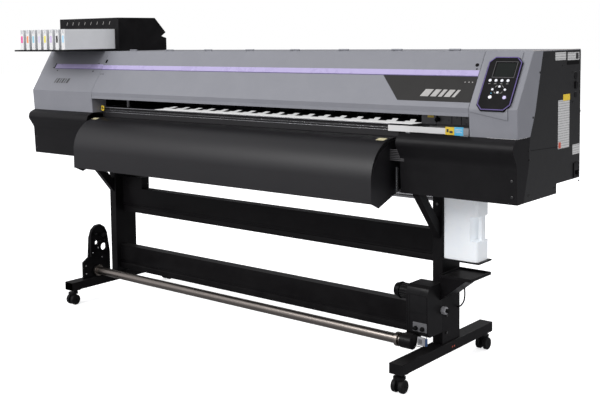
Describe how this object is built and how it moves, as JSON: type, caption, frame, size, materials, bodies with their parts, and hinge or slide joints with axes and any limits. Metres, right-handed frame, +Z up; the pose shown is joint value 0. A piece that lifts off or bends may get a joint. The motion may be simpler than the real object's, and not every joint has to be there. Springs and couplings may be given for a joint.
{
  "type": "wide format roll printer",
  "caption": "Wide roll printer on a castered stand, with opening front cover, print carriage, curved front guide, ink unit, take-up roller and waste bottle.",
  "frame": {"origin": "centre of the footprint on the floor", "axes": "+X along the carriage towards the control panel, +Y to the rear, +Z up; the operator stands at -Y"},
  "size_m": [2.785, 0.74, 1.446],
  "materials": {
    "frame_black": "satin",
    "cover_grey": "satin",
    "plastic_black": "satin",
    "platen_metal": "satin",
    "roll_metal": "satin",
    "pinch_black": "satin",
    "rubber_dark": "matte",
    "zinc": "satin",
    "caster_metal": "satin",
    "caster_tyre": "matte",
    "bottle_clear": "satin",
    "knob_grey": "satin",
    "cartridge_white": "satin",
    "key_white": "satin",
    "key_lilac": "satin"
  },
  "bodies": {
    "frame": {"foot_beams": "frame_black", "columns": "frame_black", "crossbars": "frame_black", "stand_brackets": "frame_black", "takeup_bracket": "frame_black", "lower_covers": "frame_black", "side_panels": "frame_black", "base_frame": "frame_black", "media_apron": "frame_black", "rear_cover": "frame_black", "end_cover_left": "cover_grey", "end_cover_right": "cover_grey", "top_cover": "cover_grey", "ink_unit": "plastic_black", "takeup_motor_box": "plastic_black", "cables": "plastic_black", "control_panel": "plastic_black", "power_inlet": "plastic_black", "platen": "platen_metal", "carriage_beam": "platen_metal", "stand_bolts": "zinc"},
    "front_cover": {"front_cover": "cover_grey"},
    "carriage": {"carriage": "plastic_black"},
    "grit_shaft": {"grit_shaft": "roll_metal"},
    "pinch_arms": {"pinch_arms": "pinch_black"},
    "pinch_rollers": {"pinch_rollers": "rubber_dark"},
    "clamp_lever": {"clamp_lever": "plastic_black"},
    "cap_station": {"cap_station": "plastic_black"},
    "takeup_tube": {"takeup_tube": "roll_metal"},
    "takeup_gear": {"takeup_gear": "plastic_black"},
    "clamp_knob": {"clamp_knob": "knob_grey"},
    "supply_shaft": {"supply_shaft": "roll_metal"},
    "waste_bottle": {"waste_bottle": "bottle_clear"},
    "main_switch": {"main_switch": "plastic_black"},
    "key_f_one": {"key_f_one": "key_white"},
    "key_f_two": {"key_f_two": "key_white"},
    "key_f_three": {"key_f_three": "key_white"},
    "key_f_four": {"key_f_four": "key_white"},
    "key_up": {"key_up": "key_white"},
    "key_left": {"key_left": "key_white"},
    "key_right": {"key_right": "key_white"},
    "key_down": {"key_down": "key_white"},
    "key_end": {"key_end": "key_white"},
    "key_enter": {"key_enter": "key_lilac"},
    "cartridge_1": {"cartridge_1": "cartridge_white"},
    "cartridge_2": {"cartridge_2": "cartridge_white"},
    "cartridge_3": {"cartridge_3": "cartridge_white"},
    "cartridge_4": {"cartridge_4": "cartridge_white"},
    "cartridge_5": {"cartridge_5": "cartridge_white"},
    "cartridge_6": {"cartridge_6": "cartridge_white"},
    "cartridge_7": {"cartridge_7": "cartridge_white"},
    "cartridge_8": {"cartridge_8": "cartridge_white"},
    "caster_fl": {"caster_fork_fl": "caster_metal"},
    "wheels_fl": {"caster_wheels_fl": "caster_tyre"},
    "caster_fr": {"caster_fork_fr": "caster_metal"},
    "wheels_fr": {"caster_wheels_fr": "caster_tyre"},
    "caster_rl": {"caster_fork_rl": "caster_metal"},
    "wheels_rl": {"caster_wheels_rl": "caster_tyre"},
    "caster_rr": {"caster_fork_rr": "caster_metal"},
    "wheels_rr": {"caster_wheels_rr": "caster_tyre"}
  },
  "joints": [
    {"name": "cover_lift", "type": "hinge", "parent": "frame", "child": "front_cover", "pos_m": [0.1495, -0.1, 1.2803], "axis": [1, 0, 0], "range_deg": [-95, 0]},
    {"name": "carriage_travel", "type": "slide", "parent": "frame", "child": "carriage", "axis": [1, 0, 0], "range_m": [-1.88, 0]},
    {"name": "feed_spin", "type": "hinge", "parent": "frame", "child": "grit_shaft", "pos_m": [0.055, 0.066, 0.985], "axis": [1, 0, 0], "continuous": true},
    {"name": "clamp_turn", "type": "hinge", "parent": "frame", "child": "clamp_lever", "pos_m": [1.012, -0.138, 1.019], "axis": [0, 1, 0], "range_deg": [0, 90]},
    {"name": "pinch_lift", "type": "hinge", "parent": "frame", "child": "pinch_arms", "pos_m": [0, 0.112, 1.046], "axis": [1, 0, 0], "range_deg": [-4.5, 0]},
    {"name": "pinch_spin", "type": "hinge", "parent": "pinch_arms", "child": "pinch_rollers", "pos_m": [0.179, 0.066, 1.0092], "axis": [1, 0, 0], "continuous": true},
    {"name": "cap_lift", "type": "slide", "parent": "frame", "child": "cap_station", "axis": [0, 0, 1], "range_m": [-0.012, 0]},
    {"name": "takeup_spin", "type": "hinge", "parent": "frame", "child": "takeup_tube", "pos_m": [-0.07, -0.155, 0.148], "axis": [1, 0, 0], "continuous": true},
    {"name": "gear_spin", "type": "hinge", "parent": "frame", "child": "takeup_gear", "pos_m": [0.85, -0.1, 0.33], "axis": [1, 0, 0], "continuous": true},
    {"name": "knob_turn", "type": "hinge", "parent": "frame", "child": "clamp_knob", "pos_m": [0.978, -0.031, 0.257], "axis": [1, 0, 0], "continuous": true},
    {"name": "supply_spin", "type": "hinge", "parent": "frame", "child": "supply_shaft", "pos_m": [-0.034, 0.305, 0.64], "axis": [1, 0, 0], "continuous": true},
    {"name": "bottle_pull", "type": "slide", "parent": "frame", "child": "waste_bottle", "axis": [0, -1, 0], "range_m": [0, 0.15]},
    {"name": "switch_rock", "type": "hinge", "parent": "frame", "child": "main_switch", "pos_m": [1.3815, 0.242, 1.141], "axis": [0, 1, 0], "range_deg": [-7, 7]},
    {"name": "key_f_one_press", "type": "slide", "parent": "frame", "child": "key_f_one", "axis": [0, 0.8462, -0.5329], "range_m": [0, 0.0012], "stiffness_N_per_m": 300},
    {"name": "key_f_two_press", "type": "slide", "parent": "frame", "child": "key_f_two", "axis": [0, 0.8462, -0.5329], "range_m": [0, 0.0012], "stiffness_N_per_m": 300},
    {"name": "key_f_three_press", "type": "slide", "parent": "frame", "child": "key_f_three", "axis": [0, 0.8462, -0.5329], "range_m": [0, 0.0012], "stiffness_N_per_m": 300},
    {"name": "key_f_four_press", "type": "slide", "parent": "frame", "child": "key_f_four", "axis": [0, 0.8462, -0.5329], "range_m": [0, 0.0012], "stiffness_N_per_m": 300},
    {"name": "key_up_press", "type": "slide", "parent": "frame", "child": "key_up", "axis": [0, 0.8462, -0.5329], "range_m": [0, 0.0012], "stiffness_N_per_m": 300},
    {"name": "key_left_press", "type": "slide", "parent": "frame", "child": "key_left", "axis": [0, 0.8462, -0.5329], "range_m": [0, 0.0012], "stiffness_N_per_m": 300},
    {"name": "key_right_press", "type": "slide", "parent": "frame", "child": "key_right", "axis": [0, 0.8462, -0.5329], "range_m": [0, 0.0012], "stiffness_N_per_m": 300},
    {"name": "key_down_press", "type": "slide", "parent": "frame", "child": "key_down", "axis": [0, 0.8462, -0.5329], "range_m": [0, 0.0012], "stiffness_N_per_m": 300},
    {"name": "key_end_press", "type": "slide", "parent": "frame", "child": "key_end", "axis": [0, 0.8462, -0.5329], "range_m": [0, 0.0012], "stiffness_N_per_m": 300},
    {"name": "key_enter_press", "type": "slide", "parent": "frame", "child": "key_enter", "axis": [0, 0.8462, -0.5329], "range_m": [0, 0.0012], "stiffness_N_per_m": 300},
    {"name": "cartridge_1_pull", "type": "slide", "parent": "frame", "child": "cartridge_1", "axis": [0, -1, 0], "range_m": [0, 0.3]},
    {"name": "cartridge_2_pull", "type": "slide", "parent": "frame", "child": "cartridge_2", "axis": [0, -1, 0], "range_m": [0, 0.3]},
    {"name": "cartridge_3_pull", "type": "slide", "parent": "frame", "child": "cartridge_3", "axis": [0, -1, 0], "range_m": [0, 0.3]},
    {"name": "cartridge_4_pull", "type": "slide", "parent": "frame", "child": "cartridge_4", "axis": [0, -1, 0], "range_m": [0, 0.3]},
    {"name": "cartridge_5_pull", "type": "slide", "parent": "frame", "child": "cartridge_5", "axis": [0, -1, 0], "range_m": [0, 0.3]},
    {"name": "cartridge_6_pull", "type": "slide", "parent": "frame", "child": "cartridge_6", "axis": [0, -1, 0], "range_m": [0, 0.3]},
    {"name": "cartridge_7_pull", "type": "slide", "parent": "frame", "child": "cartridge_7", "axis": [0, -1, 0], "range_m": [0, 0.3]},
    {"name": "cartridge_8_pull", "type": "slide", "parent": "frame", "child": "cartridge_8", "axis": [0, -1, 0], "range_m": [0, 0.3]},
    {"name": "swivel_fl", "type": "hinge", "parent": "frame", "child": "caster_fl", "pos_m": [-1.015, -0.288, 0.06], "axis": [0, 0, 1], "continuous": true},
    {"name": "roll_fl", "type": "hinge", "parent": "caster_fl", "child": "wheels_fl", "pos_m": [-1.015, -0.304, 0.026], "axis": [1, 0, 0], "continuous": true},
    {"name": "swivel_fr", "type": "hinge", "parent": "frame", "child": "caster_fr", "pos_m": [0.947, -0.288, 0.06], "axis": [0, 0, 1], "continuous": true},
    {"name": "roll_fr", "type": "hinge", "parent": "caster_fr", "child": "wheels_fr", "pos_m": [0.947, -0.304, 0.026], "axis": [1, 0, 0], "continuous": true},
    {"name": "swivel_rl", "type": "hinge", "parent": "frame", "child": "caster_rl", "pos_m": [-1.015, 0.328, 0.06], "axis": [0, 0, 1], "continuous": true},
    {"name": "roll_rl", "type": "hinge", "parent": "caster_rl", "child": "wheels_rl", "pos_m": [-1.015, 0.344, 0.026], "axis": [1, 0, 0], "continuous": true},
    {"name": "swivel_rr", "type": "hinge", "parent": "frame", "child": "caster_rr", "pos_m": [0.947, 0.328, 0.06], "axis": [0, 0, 1], "continuous": true},
    {"name": "roll_rr", "type": "hinge", "parent": "caster_rr", "child": "wheels_rr", "pos_m": [0.947, 0.344, 0.026], "axis": [1, 0, 0], "continuous": true}
  ],
  "couplings": [
    {"joint": "pinch_spin", "follows": "feed_spin", "ratio": -1.6667},
    {"joint": "clamp_turn", "follows": "pinch_lift", "ratio": -20},
    {"joint": "gear_spin", "follows": "takeup_spin", "ratio": 1.5}
  ]
}
